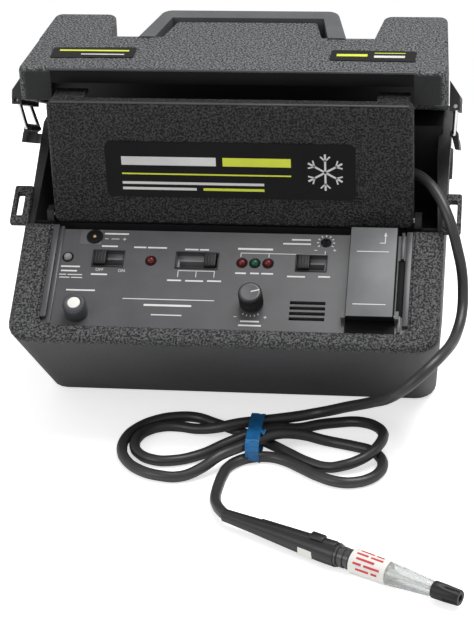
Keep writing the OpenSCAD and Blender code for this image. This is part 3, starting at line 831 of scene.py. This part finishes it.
marks += minus(-74.4, -8.9, 1) + plus(-63.6, -8.9, 1) + minus(-69.2, -8.9, 2.4)
marks += minus(50.6, -13.6, 0.9) + plus(61.6, -13.4, 0.9)
marks += minus(7.2, -60.2, 0.9) + plus(24.6, -60.2, 0.9)
marks += [ink(55.9, 56.5, -4.2, -3, turn, trimmer) for turn in range(-120, 121, 30)]
marks += [ink(15.8, 16.2, -42.6, -41.2, turn, dial) for turn in (-150, -165, 180, 165, 150)]
print("print patches:", len(marks))

# %% Switch words


def printed_word(word, x, y, size=2.7):
    """A word of ink: text made a mesh, then laid on the panel."""
    bpy.ops.object.text_add(location=(x * mm, y * mm, (panel_face - 0.02) * mm))
    text = bpy.context.active_object
    text.data.body = word
    text.data.size = size * mm
    text.data.extrude = ink_sunk * mm
    text.data.align_x = "CENTER"
    bpy.ops.object.convert(target="MESH")
    return settle(bpy.context.active_object, panel_place)


marks += [printed_word("OFF", -76.2, -31.4), printed_word("ON", -62.9, -31.8)]
panel_print = dress(joined("panel_print", marks), "case", ink_white, "white_plastic")
print("panel print:", len(panel_print.data.polygons), "faces")

# %% [markdown]
# ## Panel fittings
# Slide switches sit in black bezels, lamps in thin rings, and the charging socket in a small dark
# plate. Both ends of the panel have moulded ledges, the right one with a finger recess, which is a
# flat black patch of painted shade.

# %% Bezels and rings
rail = 0.9
window_low, window_high = -27.7, -17.7
lamp_ring = [(3.4, -0.3), (3.4, 0.25), (3.2, 0.45), (2.8, 0.45), (2.62, 0.2), (2.62, -0.3)]
lamp_spots = [(-46.2, -23.6), (7.9, -23.6), (15.5, -23.6), (23.3, -23.6), (-96.1, -22.3)]


def bezel(x, width):
    """Four rounded bars round a switch window."""
    x0, x1, y0, y1 = x - width / 2, x + width / 2, window_low, window_high
    bars = (((x0 - rail, y0 - rail), (x1 + rail, y0)), ((x0 - rail, y1), (x1 + rail, y1 + rail)),
            ((x0 - rail, y0), (x0, y1)), ((x1, y0), (x1 + rail, y1)))
    return [slab("rail", (*low, panel_face - 0.4), (*high, panel_face + 0.5), 0.2)
            for low, high in bars]


def panel_spot(x, y):
    """The place of a turned piece that stands on the panel."""
    return panel_place @ at(x, y, panel_face)


frames = bezel(-71.8, 17.5) + bezel(-18.8, 24) + bezel(48.6, 17)
dress(joined("switch_bezels", frames), "case", satin_black, "black_plastic")
rings = [turned("lamp_ring", lamp_ring, 32, panel_spot(*spot)) for spot in lamp_spots]
dress(joined("lamp_rings", rings), "case", glossy_black, "black_plastic")
print("bezels and rings done")

# %% Socket, ledges and recess
socket = panel_spot(-81.7, -7.8)
socket_plate = slab("socket_plate", (-90.6, -13.4, panel_face - 0.4),
                    (-77.4, -2.8, panel_face + 0.3), 0.25)
dress(socket_plate, "case", switch_grey, "grey_plastic")
socket_ring = turned("socket_ring", [(4.9, -0.2), (4.9, 0.8), (4.5, 1.1), (3.6, 1.1), (3.3, 0.7),
                                     (3.3, 0.34), (0.3, 0.34)], 40, socket)
dress(socket_ring, "case", glossy_black, "black_plastic")
socket_pin = turned("socket_pin", [(1.0, 0.3), (1.0, 0.9), (0.7, 1.2), (0.2, 1.25)], 24, socket)
dress(socket_pin, "case", brass, "steel")
ledges = [slab("ledge", (-106.9, -65, -6), (-103.4, -1, -1.2), 0.5),
          slab("ledge", (-102.9, -69, -6), (-100.6, -1, -2.8), 0.5),
          slab("ledge", (103.3, -65, -6), (106.9, -1, -1.4), 0.5),
          slab("ledge", (100.4, -19.5, -6), (102.4, -1, -2.2), 0.4),
          slab("ledge", (100.4, -69, -6), (102.4, -58, -2.2), 0.4)]
dress(joined("panel_ledges", ledges), "case", panel_grey, "panel_grey")
# The finger recess is a flat black patch on the panel: painted shade in the hollow.
recess = slab("finger_recess_shade", (99.3, -58, panel_face - 0.3), (103.2, -19.5, panel_face + 0.2),
              0.15)
dress(recess, "case", black_and_painted_shade, "black_plastic")
print("socket, ledges and recess done")

# %% [markdown]
# The slide caps carry raised grip ribs, so a thumb can push them. Each set rides on its slider.

# %% Slider ribs
slide_y = (window_low + window_high) / 2
for body, x in (("power_slider", -76.4), ("leak_size_slider", -10.9), ("mode_slider", 44.2)):
    ribs = [slab("rib", (x + k - 0.4, slide_y - 3.9, -1.7), (x + k + 0.4, slide_y + 3.9, -1.1),
                 0.25) for k in (-2.4, -0.8, 0.8, 2.4)]
    dress(joined(body + "_ribs", ribs), body, satin_black, "black_plastic")
print("slider ribs done")

# %% [markdown]
# ## Balance knob
# A turned cap with pressed-in flutes round its side, a grey disc on top and a white pointer.
# The flutes are made by insetting every side face on its own and pushing it inwards.

# %% Knob
knob_place = panel_place @ at(*dial, 0)
knob = turned("balance_knob_cap", [(6.4, -3.5), (7.0, -2.9), (7.0, 6.4), (6.7, 7.6), (6.2, 8.0)],
              40)
pick(knob, "FACE", lambda face: abs(face.normal.z) < 0.1 and face.area > 6 * mm * mm)
bpy.ops.mesh.inset(thickness=0.22 * mm, depth=-0.35 * mm, use_individual=True)
leave()
settle(knob, knob_place)
dress(knob, "balance_knob", satin_black, "black_plastic", "balance_knob")
knob_top = turned("balance_knob_disc", [(5.9, 7.8), (5.9, 8.25), (5.6, 8.4), (4.8, 8.35),
                                        (0.4, 8.3)], 48, knob_place)
dress(knob_top, "balance_knob", panel_grey, "grey_plastic")
pointer = slab("balance_pointer", (0.6, -0.35, 8.2), (5.6, 0.35, 8.42), 0.08,
               knob_place @ spin(16, "Z"))
dress(pointer, "balance_knob", ink_white, "white_plastic")
print("knob:", len(knob.data.polygons), "faces")

# %% [markdown]
# ## Calibration port
# A short grey collar that holds a white wick; the probe tip is pressed on it to test the sensor.

# %% Port and wick
port_place = panel_place @ at(-85.9, -60, 0)
port = turned("calibration_collar", [(6.9, -4), (6.9, 4.8), (6.6, 6.1), (5.9, 6.8), (4.6, 7.0),
                                     (3.95, 6.8), (3.85, 5.6), (0.3, 5.6)], 56, port_place)
dress(port, "case", edge_grey, "black_plastic", "calibration_port")
wick = turned("white_wick", [(3.8, 5.4), (3.8, 6.5), (3.5, 6.9), (2.6, 7.1), (0.3, 7.15)], 40,
              port_place)
dress(wick, "case", warm_white, "white_plastic", "reference_wick")
print("port and wick done")

# %% [markdown]
# ## Sensor cover plate
# The hot sensor sits under a hinged black cover with a grey plate on top. The plate keeps only two
# plain lines and an arrow that shows which end lifts. A dark strip on the panel lies under the
# cover's hinge.

# %% Plate and arrow
film_proud = 0.06
plate = slab("sensor_plate", (71.5, -63.6, 5.7), (98.3, -3.5, 6.35), 0.3)
dress(plate, "sensor_cover", plate_grey, "panel_grey")
strip = slab("sensor_hinge_strip", (70.6, -69.9, panel_face - 0.3),
             (99.2, -60.6, panel_face + 0.3), 0.15)
dress(strip, "case", black_and_painted_shade, "black_plastic")
plate_top = 6.33
arrow = [slab("ink", (x0, y0, plate_top), (x1, y1, plate_top + film_proud)) for x0, x1, y0, y1 in (
    (91.4, 91.9, -14.5, -8.6), (88.6, 91.6, -14.5, -14), (90.9, 92.4, -9.6, -8.4),
    (91.3, 92, -8.6, -7.2), (75.5, 94.2, -20.4, -19.9), (75.2, 94, -56, -55.5))]
dress(joined("sensor_arrow", arrow), "sensor_cover", ink_white, "white_plastic")
print("sensor plate done")

# %% [markdown]
# ## Cover film and lid stickers
# Three black films carry plain stripes in white and lime, with a six-armed frost star on the
# large one. The layout is this part's own.

# %% Large film
film_y = -21.1
star, star_arm, barb_from = (56, 150.6), 11.5, 7.2


def film_bar(x0, x1, z0, z1, turn=0.0, about=(0, 0)):
    """A patch of ink on the upright film of the front cover."""
    return slab("ink", (x0, film_y - film_proud, z0), (x1, film_y + ink_sunk, z1), 0,
                spin_about((about[0], 0, about[1]), turn, "Y"))


arms = [film_bar(star[0] - star_arm, star[0] + star_arm, star[1] - 0.6, star[1] + 0.6, turn, star)
        for turn in (30, 90, 150)]
for turn in range(30, 390, 60):
    for fork in (-45, 45):
        out = Vector((math.cos(math.radians(-turn)), 0, math.sin(math.radians(-turn)))) * barb_from
        root = (star[0] + out.x, star[1] + out.z)
        arms.append(film_bar(root[0], root[0] + 4, root[1] - 0.45, root[1] + 0.45, turn + fork,
                             root))
white_bars = [film_bar(-64, -8, 153.4, 158.8), film_bar(-64, 20, 141.2, 142.8),
              film_bar(-64, -20, 137.6, 139.2)]
dress(joined("film_white", white_bars + arms), "front_cover", ink_white, "print_black")
lime_bars = [film_bar(-4, 36, 153.4, 158.8), film_bar(-64, 36, 147.4, 148.3),
             film_bar(-16, 20, 137.6, 139.2)]
dress(joined("film_lime", lime_bars), "front_cover", ink_lime, "print_black")
print("film print done")

# %% Lid stickers
sticker_top = 207.5


def sticker_bar(x0, x1, y0, y1):
    return slab("ink", (x0, y0, sticker_top - ink_sunk), (x1, y1, sticker_top + film_proud), 0,
                upright)


def sticker_film(name, x, y, turn):
    """A black film 50 by 16.4 mm with round corners, turned a little on the lid."""
    film = slab(name + "_film", (-25, -8.2, 206.8), (25, 8.2, sticker_top), 0, upright)
    bevel_where(film, 1.8, lambda a, b: abs(a.z - b.z) > 0.3)
    settle(film, at(x, y, 0) @ spin(turn, "Z"))
    dress(film, "lid", glossy_black, "print_black", name)


sticker_film("lid_label_left", -85, 20.7, 1.6)
sticker_film("lid_label_right", 81.4, 19.8, -1.5)
lime = [sticker_bar(-106, -64, 22.4, 24.6), sticker_bar(60, 78, 18.4, 22),
        sticker_bar(82, 100, 23.4, 24.4)]
white = [sticker_bar(-92, -66, 16.8, 18.2), sticker_bar(82, 100, 16.6, 20)]
dress(joined("sticker_lime", lime), "lid", ink_lime, "print_black")
dress(joined("sticker_white", white), "lid", ink_white, "print_black")
print("stickers done")

# %% [markdown]
# ## Lid lip
# The lid's mouth has a smooth rounded lip with a black band of painted shade under it, where the
# cover shuts. A dark liner closes the view into the lid, and the cover's top edge gets a smooth
# pale strip that is a painted highlight.

# %% Lip, shade band, liner and highlight strip
lip = slab("lid_lip", (-107.5, -5.2, 205.6), (107.5, -3.7, 207.15), 0.6, upright, 3)
dress(lip, "lid", edge_grey, "textured_grey")
# The band is a black sheet of painted shade over the lid's front face under the lip.
band = slab("lid_shade_band", (-106.4, -5.0, 198.1), (106.4, -4.4, 205.8), 0.2, upright)
liner = [slab("lid_liner", (-118.3, 45, 166), (118.3, 48.2, 204.2), 0.2, upright),
         slab("lid_liner", (-118.3, 0, 203.2), (118.3, 48, 204.2), 0.2, upright)]
dress(band, "lid", black_and_painted_shade, "textured_grey")
dress(joined("lid_liner", liner), "lid", tray_black, "textured_grey")
# A pale strip along the cover's top edge: a painted highlight where the bevel catches the overhead
# light.
top_highlight_strip = slab("cover_highlight_strip", (-104.5, -20.2, 191.4), (104.5, -18.2, 192.45), 0.45, upright, 3)
dress(top_highlight_strip, "front_cover", edge_grey, "textured_black")
print("lip, band, liner and rail done")

# %% [markdown]
# ## Twist tie
# A blue paper-covered wire tie grips the hank. It starts as an open band round the bundle, is
# subdivided and crumpled with a cloud texture, and gets its thickness last. Two twisted ends
# stand off it.

# %% Tie band
tie = slab("hose_tie", (14, -102, 0.35), (22, -64.6, 15.2), 0, upright)
pick(tie, "FACE", lambda face: abs(face.normal.x) > 0.9)
bpy.ops.mesh.delete(type="FACE")
bpy.ops.mesh.select_mode(type="EDGE")
leave()
for edge in tie.data.edges:
    a, b = (tie.data.vertices[i].co for i in edge.vertices)
    edge.select = abs(a.x - b.x) > 4 * mm
edit()
bpy.ops.mesh.bevel(offset=6.4 * mm, segments=5, affect="EDGES")
bpy.ops.mesh.select_all(action="SELECT")
bpy.ops.mesh.subdivide(number_cuts=5)
leave()
crumple = tie.modifiers.new("crumple", "DISPLACE")
crumple.texture = bpy.data.textures.new("tie_crumple", "CLOUDS")
crumple.texture.noise_scale = 2.6 * mm
crumple.strength = 3.2 * mm
crumple.mid_level = 0.35
bpy.ops.object.modifier_apply(modifier="crumple")
paper = tie.modifiers.new("paper", "SOLIDIFY")
paper.thickness = 0.5 * mm
bpy.ops.object.modifier_apply(modifier="paper")
soften(math.radians(50))
print("tie:", len(tie.data.polygons), "faces")

# %% Tie ends


def tie_end(x, y, z, about_x, about_y, length):
    """A flat strip, twisted along its length and leaning away from a point."""
    strip = slab("tie_end", (-1.6, -0.35, 0), (1.6, 0.35, length), 0, upright)
    edit()
    bpy.ops.mesh.select_all(action="SELECT")
    bpy.ops.mesh.subdivide(number_cuts=11)
    leave()
    twist = strip.modifiers.new("twist", "SIMPLE_DEFORM")
    twist.deform_method = "TWIST"
    twist.deform_axis = "Z"
    twist.angle = math.radians(250)
    bpy.ops.object.modifier_apply(modifier="twist")
    return settle(strip, at(x, y, z) @ spin(about_x, "X") @ spin(about_y, "Y"))


ends = [tie_end(17, -92, 13.6, 100, -14, 9), tie_end(20.5, -84, 15, 80, 30, 8)]
tie = joined("hose_tie", [tie] + ends)
dress(tie, "case", tie_blue, "tie_blue", "twist_tie")
print("tie with its ends:", len(tie.data.polygons), "faces")

# %% [markdown]
# ## Probe
# The probe is a tapered black grip with a raised spine and button, a ribbed collar, a white
# sleeve with red stripes, a clear guard round the sampling stem, and a notched nozzle.
# The round pieces are turned on the probe's own axis.

# %% Probe grip
probe_place = at(10.8, -165, 7) @ spin(-27.3, "Z") @ spin(90, "Y")
spine = slab("probe_spine", (-7.6, -2.1, 24), (-3.6, 2.1, 73.5), 0.7, upright, 3)
pick(spine, "VERT", lambda point: point.co.z < 40 * mm)
bpy.ops.transform.translate(value=(2.3 * mm, 0, 0))
leave()
settle(spine, probe_place)
button = slab("probe_button", (-8.6, -2.5, 57), (-6, 2.5, 66), 0.9, probe_place, 3)
spine = dress(joined("probe_spine", [spine, button]), "case", grip_black, "black_plastic")
grip = rounded("probe_body", "case", 0.3, 3, grip_black)
collar = turned("probe_rings", [(6.2, 73.8), (6.2, 75.4), (5.1, 75.7), (5.1, 76.9), (5.8, 77.2),
                                (5.8, 79.2), (5.0, 79.5), (5.0, 80.7), (5.7, 81), (5.7, 82.6),
                                (5.2, 82.9), (5.2, 84.2)], 48, probe_place)
dress(collar, "case", collar_sheen, "black_plastic", "probe_collar")

# %% Sleeve and stripes
wide, wide_z, narrow, narrow_z = 7.0, 84.8, 6.6, 105.4
sleeve = turned("white_sleeve", [(6.4, 84), (6.9, 84.2), (wide, wide_z), (narrow, narrow_z),
                                 (6.4, 106), (5.9, 106.1)], 56, probe_place)
dress(sleeve, "case", warm_white, "white_plastic", "tip_band")


def sleeve_bar(turn, z0, z1):
    """A red stripe along the narrowing sleeve; turn 0 is on top and 90 faces the camera."""
    skin = wide + (narrow - wide) * ((z0 + z1) / 2 - wide_z) / (narrow_z - wide_z)
    return slab("ink", (-skin - 0.12, -0.6, z0), (-skin + 0.3, 0.6, z1), 0,
                probe_place @ spin(turn, "Z"))


rows = ((-15, 88, 96), (-15, 97.5, 102), (10, 87, 94), (10, 95.5, 103), (35, 88, 99),
        (60, 87, 92), (60, 93.5, 103), (85, 89, 97), (85, 98.5, 102))
stripes = joined("sleeve_stripes", [sleeve_bar(*row) for row in rows])
dress(stripes, "case", ink_red, "print_black")
print("sleeve stripes:", len(rows))

# %% Guard, stem and nozzle
guard = turned("clear_guard_shell", [(6.3, 105.6), (6.4, 106.2), (6.2, 109), (4.2, 134), (3.4, 134),
                                     (5.3, 109), (5.5, 105.8)], 48, probe_place)
dress(guard, "case", clear_guard, "clear_lens", "tip_guard")
stem = turned("sampling_stem", [(2.6, 105.5), (2.6, 110), (1.3, 112), (1.0, 134)], 24, probe_place)
dress(stem, "case", warm_white, "steel")
nozzle = turned("notched_nozzle", [(3.9, 132.6), (4.7, 133.2), (4.8, 134.4), (4.7, 140),
                                   (4.3, 148.2), (3.9, 148.8), (2.0, 148.8), (1.7, 148.2),
                                   (1.7, 143), (0.2, 143)], 32)


def in_notch(face):
    """Whether a face lies in one of the nozzle's four side notches."""
    turn = math.degrees(math.atan2(face.center.y, face.center.x)) % 90
    return face.center.z > 139 * mm and face.center.xy.length > 3.6 * mm and turn < 24


pick(nozzle, "FACE", in_notch)
bpy.ops.mesh.inset(thickness=0.15 * mm, depth=-0.9 * mm)
leave()
dress(settle(nozzle, probe_place), "case", satin_black, "black_plastic", "probe_nozzle")
print("probe done")

# %% [markdown]
# ## Studio
# A wide pale floor, a soft lamp overhead and a weaker one from the front left. The world fills
# the shadows and gives metal and gloss something bright to mirror. Floor and world are brighter
# to the camera than to the part, so the ground looks white without flooding it with light.

# %% Floor, lamps and world
bpy.ops.mesh.primitive_plane_add(size=0.9)
floor = bpy.context.active_object
floor.name = "studio_floor"
floor_mat, floor_tree, floor_bsdf = shader("floor_white", (0.93, 0.93, 0.93), 0.9)
floor_bsdf.inputs["Emission Color"].default_value = (1, 1, 1, 1)
seen = floor_tree.nodes.new("ShaderNodeLightPath")
glow = floor_tree.nodes.new("ShaderNodeMath")
glow.operation = "MULTIPLY"
glow.inputs[1].default_value = 0.6
link(floor_tree, seen, "Is Camera Ray", glow, 0)
link(floor_tree, glow, "Value", floor_bsdf, "Emission Strength")
wear(floor, floor_mat)
lit_point = Vector((0, -0.05, 0.1))


def soft_lamp(name, place, size, power):
    """A square lamp that looks at the case."""
    bpy.ops.object.light_add(type="AREA", location=place)
    lamp = bpy.context.active_object
    lamp.name = name
    lamp.data.size = size
    lamp.data.energy = power
    lamp.rotation_mode = "QUATERNION"
    lamp.rotation_quaternion = (lit_point - Vector(place)).to_track_quat("-Z", "Y")


soft_lamp("overhead", (0.42, 0.1, 1.5), 1.0, 20)
soft_lamp("front_left", (-1.1, -1.2, 0.9), 0.9, 6)
world = bpy.data.worlds.new("studio")
bpy.context.scene.world = world
world.use_nodes = True
backdrop = world.node_tree.nodes["Background"]
backdrop.inputs["Color"].default_value = (1, 1, 1, 1)
rays = world.node_tree.nodes.new("ShaderNodeLightPath")
level = world.node_tree.nodes.new("ShaderNodeMapRange")
level.inputs["To Min"].default_value = 0.5
link(world.node_tree, rays, "Is Camera Ray", level, "Value")
link(world.node_tree, level, "Result", backdrop, "Strength")
bpy.context.scene.view_settings.view_transform = "Standard"
print("studio done")
